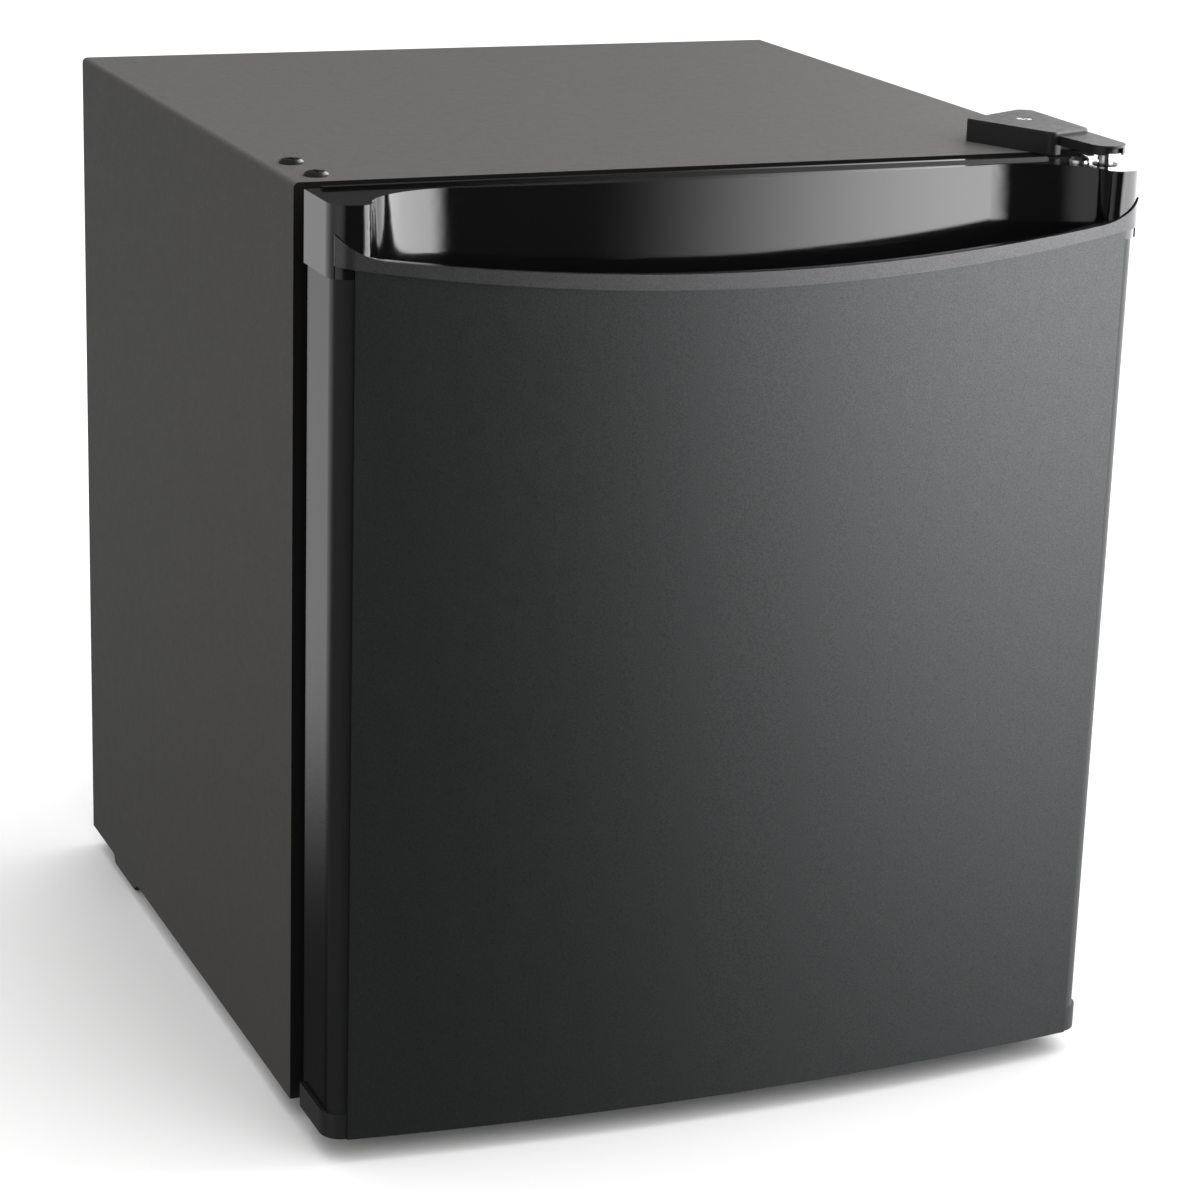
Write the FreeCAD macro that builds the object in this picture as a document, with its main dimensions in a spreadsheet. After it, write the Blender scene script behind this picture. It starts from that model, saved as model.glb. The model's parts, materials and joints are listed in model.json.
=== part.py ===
"""A compact refrigerator: insulated cabinet, bowed door with a recessed grip, shelf, chiller and compressor.

Frame: millimetres, +Z up, -Y towards the front, origin on the floor under the middle of the bounding box.
"""

import FreeCAD, Part
import math
import os
import re
import Sketcher
from FreeCAD import Placement, Rotation, Vector

os.makedirs("parts", exist_ok=True)
doc = FreeCAD.newDocument("MiniFridge")

# ---------------------------------------------------------------- driving dimensions

SIZES = {
    # cabinet
    "cabinet_width": 445, "cabinet_depth": 420, "cabinet_height": 487, "foot_height": 12,
    "skin": 1, "flange_width": 32, "side_wall": 38, "top_wall": 35, "floor_wall": 40, "back_wall": 45,
    "liner_wall": 1.5, "liner_corner": 12, "bay_depth": 130, "bay_height": 178, "shell_corner": 3,
    # door
    "door_gap": 12, "door_width": 442, "door_side_depth": 46, "door_bow": 14, "door_corner": 12,
    "door_bottom_gap": 1.5, "door_top_drop": 1, "bottom_cap_height": 13.5, "top_cap_wrap": 36,
    "top_cap_height": 82, "panel_half": 210, "panel_inset": 1, "panel_steel": 1, "trim_inset": 2,
    "trim_wall": 2.5, "fit_gap": 0.1,
    # recessed grip in the top cap
    "grip_half": 202, "grip_back": 38, "grip_lean": 5, "grip_sweep": 55, "grip_end_angle": 75,
    "lip_wall": 2.5, "lip_half": 219, "lip_low": 47.4, "lip_high": 39.3, "lip_low_end": 29.5,
    "lip_turn_drop": 27, "lip_curl": 24, "lip_curl_rise": 12.5, "post_inset": 1.2, "post_corner": 12,
    "post_round": 6, "pocket_wall": 3, "pocket_floor": 4, "bead_depth": 3.5, "bead_rise": 1.3,
    "cap_screw_x": 198, "cap_screw_ahead": 27,
    # door back: liner rim, gasket and racks
    "rim_half": 176, "rim_band": 14, "rim_reach": 20, "rim_clearance": 10, "gasket_half": 205,
    "gasket_band": 14, "gasket_inset": 15, "gasket_clearance": 0.3, "magnet_band": 7, "magnet_depth": 3,
    "rack_reach": 75, "rack_wall": 2.5, "lower_rack_z": 80, "lower_rack_height": 65,
    "upper_rack_z": 262, "upper_rack_height": 53,
    # hinges
    "pin_x": 208, "pin_ahead": 36, "pin_radius": 4, "bush_radius": 6.5, "running_gap": 0.06,
    "bracket_plate": 2.5, "arm_rise": 5.6, "cover_height": 12, "cover_wall": 1.5,
    "visor_low": 5, "visor_high": 10, "visor_radius": 10, "arm_radius": 8,
    # chiller, tray, shelf and thermostat
    "chiller_left": 172, "chiller_right": 58, "chiller_front": 135, "chiller_back": 350,
    "chiller_floor": 350, "chiller_roof": 452, "chiller_sheet": 1.5, "flap_axis_y": 126, "flap_axis_z": 447,
    "tray_floor": 320.4, "tray_height": 21.6, "tray_wall": 2, "tray_left": 169.5, "tray_right": 55.5,
    "shelf_half": 181, "shelf_front": 90, "shelf_back": 370, "shelf_z": 240.5, "shelf_rod": 2.5,
    "shelf_wire": 1.5, "dial_x": 128, "dial_z": 442, "dial_radius": 19,
    # compressor bay and feet
    "compressor_x": 20, "compressor_y": 355, "compressor_radius": 56, "tube_radius": 2.4,
    "front_foot_x": 178, "front_foot_y": 38, "front_foot_radius": 14, "skid_width": 20, "skid_inset": 3.5,
    "skid_front": 322, "skid_back": 384,
}

sheet = doc.addObject("Spreadsheet::Sheet", "Sizes")
for row, (alias, number) in enumerate(SIZES.items(), start=1):
    sheet.set("A%d" % row, alias)
    sheet.set("B%d" % row, str(number))
    sheet.setAlias("B%d" % row, alias)
doc.recompute()

gauge = doc.addObject("App::FeaturePython", "Gauge")
gauge.addProperty("App::PropertyFloat", "Reading")


def in_sheet(formula):
    """The formula with each size's name pointing at its cell."""
    return re.sub(r"[a-z]\w*", lambda word: ("Sizes." if word[0] in SIZES else "") + word[0], str(formula))


def bind(item, prop, formula):
    """Drive one property of an object from the sheet."""
    item.setExpression(prop, in_sheet(formula))


def measure(formula):
    """The present value of a formula."""
    bind(gauge, "Reading", formula)
    gauge.recompute()
    return gauge.Reading


# ---------------------------------------------------------------- places in the frame

HALF = "(cabinet_width / 2)"
FRONT = "((door_gap + door_side_depth + door_bow - cabinet_depth) / 2)"
BASE = "foot_height"
TOP = "(foot_height + cabinet_height)"
DOOR_HALF = "(door_width / 2)"
DOOR_LOW = "(foot_height + door_bottom_gap)"
DOOR_TOP = "(foot_height + cabinet_height - door_top_drop)"
DOOR_BACK = "(%s - door_gap)" % FRONT
DOOR_FACE = "(%s - door_side_depth - door_bow)" % DOOR_BACK
BOW_RADIUS = "((door_width * door_width / 4 + door_bow * door_bow) / (2 * door_bow))"
CAVITY_HALF = "(cabinet_width / 2 - side_wall)"
CAVITY_LOW = "(foot_height + floor_wall)"
CAVITY_TOP = "(foot_height + cabinet_height - top_wall)"
BAY_FRONT = "(%s + cabinet_depth - bay_depth)" % FRONT
BAY_TOP = "(foot_height + bay_height)"
PIN_Y = "(%s - pin_ahead)" % FRONT


def behind(distance):
    """A Y place measured back from the cabinet's front plane."""
    return "(%s + %s)" % (FRONT, distance)


def both(half):
    """A range that is the same on both sides of the middle plane."""
    return ("-(%s)" % half, half)


# ---------------------------------------------------------------- Part workbench helpers

def block(name, x, y, z):
    """A box, given its low and high formula on each axis."""
    box = doc.addObject("Part::Box", name)
    for axis, side, (low, high) in zip("xyz", ("Length", "Width", "Height"), (x, y, z)):
        bind(box, side, "(%s) - (%s)" % (high, low))
        bind(box, "Placement.Base." + axis, low)
    return box


TURNS = {"x": Rotation(Vector(0, 1, 0), 90), "y": Rotation(Vector(1, 0, 0), -90), "z": Rotation()}


def rod(name, axis, x, y, z, radius, length):
    """A cylinder that starts at x, y, z and runs along +axis."""
    cylinder = doc.addObject("Part::Cylinder", name)
    cylinder.Placement = Placement(Vector(), TURNS[axis])
    bind(cylinder, "Radius", radius)
    bind(cylinder, "Height", length)
    for letter, place in zip("xyz", (x, y, z)):
        bind(cylinder, "Placement.Base." + letter, place)
    return cylinder


def join(name, *pieces):
    fused = doc.addObject("Part::MultiFuse", name)
    fused.Shapes = list(pieces)
    fused.Refine = True
    return fused


def cut(name, base, *tools):
    trimmed = doc.addObject("Part::Cut", name)
    trimmed.Base = base
    trimmed.Tool = tools[0] if len(tools) == 1 else join(name + "_tools", *tools)
    return trimmed


def common(name, base, tool):
    shared = doc.addObject("Part::Common", name)
    shared.Base = base
    shared.Tool = tool
    return shared


def group(name, *pieces):
    """Separate solids kept in one node, such as a set of screws."""
    compound = doc.addObject("Part::Compound", name)
    compound.Links = list(pieces)
    return compound


def rounded(name, base, radius, chosen):
    """Base with the chosen edges rounded; chosen(edge) is true for an edge to round."""
    doc.recompute()
    fillet = doc.addObject("Part::Fillet", name)
    fillet.Base = base
    size = measure(radius)
    fillet.Edges = [(i, size, size) for i, edge in enumerate(base.Shape.Edges, start=1) if chosen(edge)]
    return fillet


def upright(edge):
    """True for a straight edge along Z."""
    start, end = edge.Vertexes[0].Point, edge.Vertexes[-1].Point
    straight = edge.Curve.TypeId == "Part::GeomLine"
    return straight and abs(start.x - end.x) < 0.01 and abs(start.y - end.y) < 0.01


# ---------------------------------------------------------------- Part Design helpers

def polygon(body, name, plane, offset, points):
    """A closed, fully constrained sketch whose corners are pairs of formulas."""
    sketch = body.newObject("Sketcher::SketchObject", name)
    support = [item for item in body.Origin.OriginFeatures if item.Role == plane][0]
    sketch.AttachmentSupport = [(support, "")]
    sketch.MapMode = "FlatFace"
    bind(sketch, "AttachmentOffset.Base.z", offset)
    corners = [Vector(measure(a), measure(b), 0) for a, b in points]
    count = len(corners)
    for i in range(count):
        sketch.addGeometry(Part.LineSegment(corners[i], corners[(i + 1) % count]), False)
    for i in range(count):
        sketch.addConstraint(Sketcher.Constraint("Coincident", i, 2, (i + 1) % count, 1))
    for i in range(count):
        for kind, formula, value in zip(("DistanceX", "DistanceY"), points[i], corners[i]):
            index = sketch.addConstraint(Sketcher.Constraint(kind, -1, 1, i, 1, value))
            bind(sketch, "Constraints[%d]" % index, formula)
    return sketch


def extruded(name, plane, low, high, points):
    """A body padded between two places along the normal of a plane (XY, XZ or YZ)."""
    body = doc.addObject("PartDesign::Body", name)
    pad_on(body, name + "_pad", plane, low, high, points)
    return body


def pad_on(body, name, plane, low, high, points):
    start = "-(%s)" % high if plane == "XZ" else low
    sketch = polygon(body, name + "_sketch", plane + "_Plane", start, points)
    pad = body.newObject("PartDesign::Pad", name)
    pad.Profile = sketch
    bind(pad, "Length", "(%s) - (%s)" % (high, low))
    body.Tip = pad
    doc.recompute()
    return pad


def pocket_in(body, name, plane, low, high, points):
    """Cut a prism between two places along the plane's normal out of the body."""
    before = body.Shape.Volume
    start = "-(%s)" % low if plane == "XZ" else high
    sketch = polygon(body, name + "_sketch", plane + "_Plane", start, points)
    pocket = body.newObject("PartDesign::Pocket", name)
    pocket.Profile = sketch
    bind(pocket, "Length", "(%s) - (%s)" % (high, low))
    body.Tip = pocket
    doc.recompute()
    if not body.Shape.Volume < before:
        raise RuntimeError(name + " cuts nothing")
    return pocket


def soften(body, name, radius, chosen):
    """Round the chosen edges of a body's last feature."""
    base = body.Tip
    names = ["Edge%d" % i for i, edge in enumerate(base.Shape.Edges, start=1) if chosen(edge)]
    fillet = body.newObject("PartDesign::Fillet", name)
    fillet.Base = (base, names)
    bind(fillet, "Radius", radius)
    body.Tip = fillet
    doc.recompute()
    if "Invalid" in fillet.State:
        raise RuntimeError(name + " cannot be rounded")
    return body


def rectangle(a, b):
    """The corners of a rectangle, given its low and high formula on both axes."""
    return [(a[0], b[0]), (a[1], b[0]), (a[1], b[1]), (a[0], b[1])]


def turned(name, profile, x, y, z, axis="z"):
    """A body of revolution; profile is (radius, height along the axis) pairs."""
    body = doc.addObject("PartDesign::Body", name)
    sketch = polygon(body, name + "_profile", "XZ_Plane", "0", profile)
    turn = body.newObject("PartDesign::Revolution", name + "_turn")
    turn.Profile = sketch
    turn.ReferenceAxis = (sketch, ["V_Axis"])
    turn.Angle = 360
    body.Tip = turn
    body.Placement = Placement(Vector(), TURNS[axis])
    for letter, place in zip("xyz", (x, y, z)):
        bind(body, "Placement.Base." + letter, place)
    doc.recompute()
    return body


def bent_tube(name, points, bend, radius):
    """A round tube along straight runs joined by tangent arcs of one bend radius."""
    places = [Vector(*(measure(part) for part in point)) for point in points]
    bend = measure(bend)
    edges = []
    start = places[0]
    for before, corner, after in zip(places, places[1:], places[2:]):
        into = (corner - before).normalize()
        away = (after - corner).normalize()
        half_turn = into.getAngle(away) / 2
        trim = bend * abs(math.tan(half_turn))
        enter = corner - into * trim
        leave = corner + away * trim
        inward = (away - into).normalize()
        reach = bend / math.cos(half_turn) - bend
        edges.append(Part.LineSegment(start, enter).toShape())
        edges.append(Part.Arc(enter, corner + inward * reach, leave).toShape())
        start = leave
    edges.append(Part.LineSegment(start, places[-1]).toShape())
    path = Part.Wire(edges)
    section = Part.Wire(Part.makeCircle(measure(radius), places[0], places[1] - places[0]))
    tube = doc.addObject("Part::Feature", name)
    tube.Shape = path.makePipeShell([section], True, False)
    return tube


nodes = []


def node(item, label=None):
    """Keep an object as a sub-part of the assembly, under its node name."""
    item.Label = label or item.Name
    nodes.append(item)
    return item


# ---------------------------------------------------------------- cabinet

def outer_shell():
    """The steel wrap: left side, top and right side, with a return flange round the front."""
    outline = [
        ("-" + HALF, BASE), ("-" + HALF, TOP), (HALF, TOP), (HALF, BASE), (HALF + " - skin", BASE),
        (HALF + " - skin", TOP + " - skin"), ("skin - " + HALF, TOP + " - skin"), ("skin - " + HALF, BASE),
    ]
    flange = [
        ("-" + HALF, BASE), ("-" + HALF, TOP), (HALF, TOP), (HALF, BASE), (HALF + " - flange_width", BASE),
        (HALF + " - flange_width", TOP + " - flange_width"),
        ("flange_width - " + HALF, TOP + " - flange_width"), ("flange_width - " + HALF, BASE),
    ]
    body = extruded("outer_shell_wrap", "XZ", FRONT, behind("cabinet_depth"), outline)
    pad_on(body, "outer_shell_flange", "XZ", FRONT, behind("skin"), flange)
    half, top = measure(HALF), measure(TOP)

    def fold(edge):
        a, b = edge.Vertexes[0].Point, edge.Vertexes[-1].Point
        along_y = abs(a.x - b.x) < 0.01 and abs(a.z - b.z) < 0.01
        return along_y and abs(abs(a.x) - half) < 0.01 and abs(a.z - top) < 0.01

    soften(body, "outer_shell_fold", "shell_corner", fold)
    holes = [
        rod("plug_hole_%d" % i, "z", x, behind(y), TOP + " - 2 * skin", 3, "3 * skin")
        for i, (x, y) in enumerate(PLUG_PLACES + HINGE_SCREW_PLACES)
    ]
    return node(cut("outer_shell", body, *holes))


PLUG_PLACES = [("-207.5", 52), ("-206", 16)]
HINGE_SCREW_PLACES = [("205", 50), ("205", 16), ("186", 33)]


def back_and_base():
    """The flat back panel, and the base panel that steps up over the compressor bay."""
    inside = both(HALF + " - skin")
    panel = block("back_panel_blank", inside, (behind("cabinet_depth - skin"), behind("cabinet_depth")),
                  (BAY_TOP + " + skin", TOP + " - skin"))
    low, high = BASE, BAY_TOP
    profile = [
        (behind(40), low), (BAY_FRONT, low), (BAY_FRONT, high), (behind("cabinet_depth"), high),
        (behind("cabinet_depth"), high + " + skin"), (BAY_FRONT + " - skin", high + " + skin"),
        (BAY_FRONT + " - skin", low + " + skin"), (behind(40), low + " + skin"),
    ]
    base = extruded("base_panel", "YZ", inside[0], inside[1], profile)
    strip = block("rail_strip", inside, (behind("skin"), behind(40)), (BASE, BASE + " + 2 * skin"))
    lip = block("rail_lip", both(HALF + " - flange_width"), (FRONT, behind("2 * skin")), (BASE, BASE + " + 37"))
    holes = [
        rod("rail_hole_" + side, "z", sign + "front_foot_x", behind("front_foot_y - 6"), BASE + " - 1", 4.4, 5)
        for side, sign in SIDES
    ]
    rail = cut("front_rail", join("rail_raw", strip, lip), *holes)
    screws = []
    for i, x in enumerate(("-200", "0", "200")):
        for j, z in enumerate((BAY_TOP + " + 14", TOP + " - 14")):
            head = rod("back_screw_%d%d" % (i, j), "y", x, behind("cabinet_depth - 2.6"), z, 3.6, 2.6)
            screws.append(head)
    panel = cut("back_panel_drilled", panel, *[copy_of(screw) for screw in screws])
    node(panel, "back_panel")
    node(base)
    node(rail)
    node(group("back_panel_screws", *screws))


SIDES = [("left", "-"), ("right", "")]


def copy_of(item, use=""):
    """A second object with the same shape, used as a cutting tool."""
    twin = doc.addObject("Part::Compound", "%s_tool_%s" % (item.Name, use))
    twin.Links = [item]
    return twin


def cavity(name, wall):
    """The inside space, stepped over the compressor bay, grown by a wall thickness on every face."""
    room = block(name + "_room", both("%s + %s" % (CAVITY_HALF, wall)),
                 (FRONT, behind("cabinet_depth - back_wall + %s" % wall)),
                 ("%s - %s" % (CAVITY_LOW, wall), "%s + %s" % (CAVITY_TOP, wall)))
    front = measure(FRONT)
    room = rounded(name + "_rounded", room, "liner_corner + %s" % wall,
                   lambda edge: max(corner.Y for corner in edge.Vertexes) > front + 1)
    step = block(name + "_step", both(HALF),
                 ("%s - side_wall - liner_wall + %s" % (BAY_FRONT, wall), behind("cabinet_depth")),
                 (BASE, "%s + floor_wall + liner_wall - %s" % (BAY_TOP, wall)))
    return cut(name, room, step)


def liner():
    """The white inner liner: a stepped box with a flange round its mouth and a pair of shelf ribs."""
    inside = cavity("cavity_inside", "0")
    outside = cavity("cavity_outside", "liner_wall")
    mouth = block("liner_mouth", both(HALF + " - flange_width"), (FRONT, behind("liner_wall")),
                  (BASE + " + 37", TOP + " - flange_width"))
    along = (behind(60), behind(370))
    ribs = [
        block("shelf_rib_left", ("-" + CAVITY_HALF, "6 - " + CAVITY_HALF), along, (233, 237)),
        block("shelf_rib_right", (CAVITY_HALF + " - 6", CAVITY_HALF), along, (233, 237)),
    ]
    shell = cut("liner_shell", join("liner_outer", outside, mouth), inside)
    node(join("inner_liner", shell, *ribs))
    return outside


def cabinet_foam(liner_outside):
    """Foam that fills the space between the steel and the liner."""
    full = block("foam_block", both(HALF + " - skin"), (behind("2 * skin"), behind("cabinet_depth - skin")),
                 (BASE + " + 2 * skin", TOP + " - skin"))
    bay = block("foam_bay", both(HALF), (BAY_FRONT + " - skin", behind("cabinet_depth")),
                (BASE, BAY_TOP + " + skin"))
    rear = (behind("cabinet_depth - 4"), behind("cabinet_depth"))
    screws = []
    for i, x in enumerate(("-200", "0", "200")):
        for j, z in enumerate(((BAY_TOP, BAY_TOP + " + 26"), (TOP + " - 26", TOP))):
            screws.append(block("foam_screw_%d%d" % (i, j), (x + " - 12", x + " + 12"), rear, z))
    wells = [
        rod("foot_well_" + side, "z", sign + "front_foot_x", behind("front_foot_y - 6"), BASE, 10, 24)
        for side, sign in SIDES
    ]
    studs = [
        rod("hinge_well_%d" % i, "z", x, behind(y), TOP + " - 12", 4, 12)
        for i, (x, y) in enumerate(PLUG_PLACES + HINGE_SCREW_PLACES)
    ]
    return node(cut("cabinet_foam", full, bay, copy_of(liner_outside), *(screws + wells + studs)))


def chiller():
    """The folded evaporator box under the cavity's roof, its hangers, front frame and top-hung flap."""
    sheet_box = extruded("evaporator_plate", "XZ", behind("chiller_front"), behind("chiller_back"),
                         rectangle(("-chiller_left", "chiller_right"), ("chiller_floor", "chiller_roof")))
    pocket_in(sheet_box, "evaporator_hollow", "XZ", behind("chiller_front"), behind("chiller_back"),
              rectangle(("chiller_sheet - chiller_left", "chiller_right - chiller_sheet"),
                        ("chiller_floor + chiller_sheet", "chiller_roof - chiller_sheet")))
    node(sheet_box)
    node(group("evaporator_hangers", *[
        block("hanger_%d" % i, (x, x + " + 18"), (behind("chiller_front + 15"), behind("chiller_back - 15")),
              ("chiller_roof", CAVITY_TOP)) for i, x in enumerate(("-150", "20"))
    ]))
    frame = block("frame_plate", ("-chiller_left - 4", "chiller_right + 4"),
                  (behind("chiller_front - 4"), behind("chiller_front")),
                  ("chiller_floor - 4", "chiller_roof + 4"))
    mouth = block("frame_mouth", ("6 - chiller_left", "chiller_right - 6"),
                  (behind("chiller_front - 5"), behind("chiller_front + 1")),
                  ("chiller_floor + 6", "chiller_roof - 6"))
    depth, height = (behind(120), behind(131)), (440, 453)
    ears = [
        block("frame_ear_left", ("-chiller_left - 4", "2 - chiller_left"), depth, height),
        block("frame_ear_right", ("chiller_right - 2", "chiller_right + 4"), depth, height),
    ]
    socket = rod("frame_socket", "x", "-chiller_left - 3", behind("flap_axis_y"), "flap_axis_z",
                 "2.5 + running_gap", "chiller_left + chiller_right + 6")
    node(cut("chiller_frame", join("frame_raw", frame, *ears), mouth, socket))
    leaf = block("flap_leaf", ("3 - chiller_left", "chiller_right - 3"), (behind(124.5), behind(128)),
                 (352, 447))
    barrel = rod("flap_barrel", "x", "3 - chiller_left", behind("flap_axis_y"), "flap_axis_z", 3.5,
                 "chiller_left + chiller_right - 6")
    pins = rod("flap_pins", "x", "-chiller_left - 2", behind("flap_axis_y"), "flap_axis_z", 2.5,
               "chiller_left + chiller_right + 4")
    pull = block("flap_pull", (-87, -27), (behind(118), behind(125)), (354, 360))
    node(join("chiller_flap", leaf, barrel, pins, pull))


def drip_tray():
    """The tray under the chiller, and the two hanging rails that it slides on."""
    left, right = "-tray_left", "tray_right"
    tray = extruded("drip_tray", "XY", "tray_floor", "tray_floor + tray_height",
                    rectangle((left, right), (behind(140), behind(345))))
    soften(tray, "tray_corners", 5, upright)
    pocket_in(tray, "tray_hollow", "XY", "tray_floor + tray_wall", "tray_floor + tray_height",
              rectangle((left + " + tray_wall", right + " - tray_wall"),
                        (behind("140 + tray_wall"), behind("345 - tray_wall"))))
    pad_on(tray, "tray_grip", "XY", "tray_floor + tray_height - 4", "tray_floor + tray_height",
           rectangle((-82, -32), (behind(131), behind(141))))
    node(tray)
    rails = []
    for side, sign, face in (("left", "-", "tray_left"), ("right", "", "tray_right")):
        web = (sign + "(%s + 0.5)" % face, sign + "(%s + 2.5)" % face)
        ledge = (sign + "(%s - 9)" % face, sign + "(%s + 2.5)" % face)
        if side == "left":
            web, ledge = web[::-1], ledge[::-1]
        rails.append(join("rail_" + side,
                          block("rail_web_" + side, web, (behind(140), behind(345)), (318, "chiller_floor")),
                          block("rail_ledge_" + side, ledge, (behind(140), behind(345)), (318, 320))))
    node(group("drip_tray_rails", *rails))


def wire_shelf():
    """A welded wire shelf: a rod frame with thin wires from front to back."""
    front, back = behind("shelf_front + shelf_rod"), behind("shelf_back - shelf_rod")
    half = "(shelf_half - shelf_rod)"
    pieces = [
        rod("shelf_side_" + side, "y", sign + half, front, "shelf_z", "shelf_rod", "%s - %s" % (back, front))
        for side, sign in SIDES
    ]
    for place, y in (("front", front), ("back", back), ("middle", behind(230))):
        pieces.append(rod("shelf_bar_" + place, "x", "-" + half, y, "shelf_z", "shelf_rod", "2 * " + half))
    pieces += [ball("shelf_corner_%d" % i, sign + half, y, "shelf_z", "shelf_rod")
               for i, (sign, y) in enumerate((sign, y) for sign in ("-", "") for y in (front, back))]
    wires = 19
    for i in range(1, wires + 1):
        x = "(%d / %d - 1) * %s" % (2 * i, wires + 1, half)
        pieces.append(rod("shelf_wire_%02d" % i, "y", x, front, "shelf_z + 0.8", "shelf_wire",
                          "%s - %s" % (back, front)))
    node(join("wire_shelf", *pieces))


def ball(name, x, y, z, radius):
    """A sphere about x, y, z."""
    sphere = doc.addObject("Part::Sphere", name)
    bind(sphere, "Radius", radius)
    for letter, place in zip("xyz", (x, y, z)):
        bind(sphere, "Placement.Base." + letter, place)
    return sphere


def thermostat():
    """The housing under the roof, its dial and the sensor tube that reaches the evaporator."""
    case = block("thermostat_case", (84, 172), (behind(160), behind(330)), (424, CAVITY_TOP))
    case = rounded("thermostat_rounded", case, 6, lambda edge: upright(edge) and edge.Vertexes[0].Y < 0)
    bore = rod("dial_bore", "y", "dial_x", behind(159), "dial_z", "3 + running_gap", 16)
    node(cut("thermostat_housing", case, bore))
    profile = [("0", "0"), ("dial_radius - 2", "0"), ("dial_radius", "2"), ("dial_radius", "9"),
               ("3", "9"), ("3", "24"), ("0", "24")]
    dial = turned("dial_knob", profile, "dial_x", behind(150), "dial_z", "y")
    grip = block("dial_grip", ("dial_x - 3", "dial_x + 3"), (behind(145), behind(151)),
                 ("dial_z - dial_radius + 2", "dial_z + dial_radius - 2"))
    node(join("thermostat_dial", dial, grip))
    node(rod("sensor_tube", "x", "chiller_right", behind(300), "dial_z", 1.5, "84 - chiller_right"))


def compressor_bay():
    """The base plate with the compressor, its fixings, and the cooling circuit's pipes."""
    inside = both(HALF + " - skin")
    x, y = "compressor_x", behind("compressor_y")
    plate = block("bay_floor", inside, (BAY_FRONT, behind("cabinet_depth - skin")), (BASE, BASE + " + 2"))
    lip = block("bay_lip", inside, (behind("cabinet_depth - 3"), behind("cabinet_depth - skin")),
                (BASE, BASE + " + 24"))
    corners = [(sx, sy) for sx in (-72, 72) for sy in (-34, 34)]
    bolts = []
    grommets = []
    for i, (sx, sy) in enumerate(corners):
        place = ("%s + %d" % (x, sx), "%s + %d" % (y, sy))
        bolts.append(join("bolt_%d" % i, rod("bolt_shaft_%d" % i, "z", *place, BASE + " + 2", 4, 14),
                          rod("bolt_head_%d" % i, "z", *place, BASE + " + 16", 7, 4)))
        grommets.append(cut("grommet_%d" % i, rod("grommet_outer_%d" % i, "z", *place, BASE + " + 2", 11, 10),
                            rod("grommet_hole_%d" % i, "z", *place, BASE + " + 1", 4, 12)))
    gland_x, gland_z = "-150", BASE + " + 13"
    hole = rod("gland_hole", "y", gland_x, behind("cabinet_depth - 4"), gland_z, 7, 8)
    node(cut("compressor_base_plate", join("bay_plate", plate, lip), hole))
    node(cut("cord_gland", join("gland_solid",
                                rod("gland_sleeve", "y", gland_x, behind("cabinet_depth - 12"), gland_z, 7, 12),
                                rod("gland_flange", "y", gland_x, behind("cabinet_depth - 6"), gland_z, 9, 3)),
             rod("gland_bore", "y", gland_x, behind("cabinet_depth - 13"), gland_z, 3.5, 14)))
    node(group("compressor_grommets", *grommets))
    node(group("compressor_bolts", *bolts))

    wide = "compressor_radius"
    can = turned("compressor_can", [
        ("0", "15"), (wide + " - 8", "15"), (wide, "24"), (wide, "62"), (wide + " + 2", "63"),
        (wide + " + 2", "68"), (wide, "69"), (wide, "112"), (wide + " - 5", "128"), (wide + " - 18", "141"),
        ("22", "148"), ("0", "150")], x, y, BASE)
    feet = block("compressor_feet", (x + " - 84", x + " + 84"), (y + " - 45", y + " + 45"),
                 (BASE + " + 12", BASE + " + 16"))
    slots = [rod("foot_slot_%d" % i, "z", "%s + %d" % (x, sx), "%s + %d" % (y, sy), BASE + " + 11", 4, 6)
             for i, (sx, sy) in enumerate(corners)]
    node(can, "compressor")
    node(cut("compressor_foot_plate", feet, copy_of(can), *slots))
    cover = block("terminal_block", (x + " - 88", x + " - 40"), (y + " - 28", y + " + 28"),
                  (BASE + " + 48", BASE + " + 106"))
    cover = rounded("terminal_rounded", cover, 5,
                    lambda edge: edge.Vertexes[0].X < -60 and edge.Vertexes[-1].X < -60)
    node(cut("compressor_terminal_cover", cover, copy_of(can)), "compressor_terminal_cover")

    dryer = turned("filter_dryer", [("0", "0"), ("3", "0"), ("9", "10"), ("9", "78"), ("3", "88"), ("0", "88")],
                   -170, behind(385), BASE + " + 50")
    node(dryer)
    top = BASE + " + 160"
    suction = [(x + " + 30", y + " + 20", BASE + " + 125"), (x + " + 30", y + " + 20", top),
               ("150", y + " + 20", top), ("150", y + " + 20", BAY_TOP)]
    discharge = [(x + " + 40", y + " - 10", BASE + " + 115"), (x + " + 40", y + " - 10", top + " - 12"),
                 ("185", y + " - 10", top + " - 12"), ("185", y + " - 10", BAY_TOP)]
    from_dryer = [("-170", behind(385), BASE + " + 138"), ("-170", behind(385), top),
                  ("-170", behind(340), top), ("-170", behind(340), BAY_TOP)]
    service = [(x + " - 20", y + " + 30", BASE + " + 125"), (x + " - 20", y + " + 30", top + " - 6"),
               (x + " - 62", y + " + 30", top + " - 6")]
    pipes = [
        bent_tube("suction_pipe", suction, 9, 3),
        bent_tube("discharge_pipe", discharge, 9, 2.4),
        bent_tube("dryer_pipe", from_dryer, 7, 2.4),
        bent_tube("service_pipe", service, 9, 3),
    ]
    node(cut("refrigerant_pipes", group("pipes_raw", *pipes), copy_of(can)))
    node(group("condenser_tubes", *[condenser(side, sign) for side, sign in SIDES]))


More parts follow.
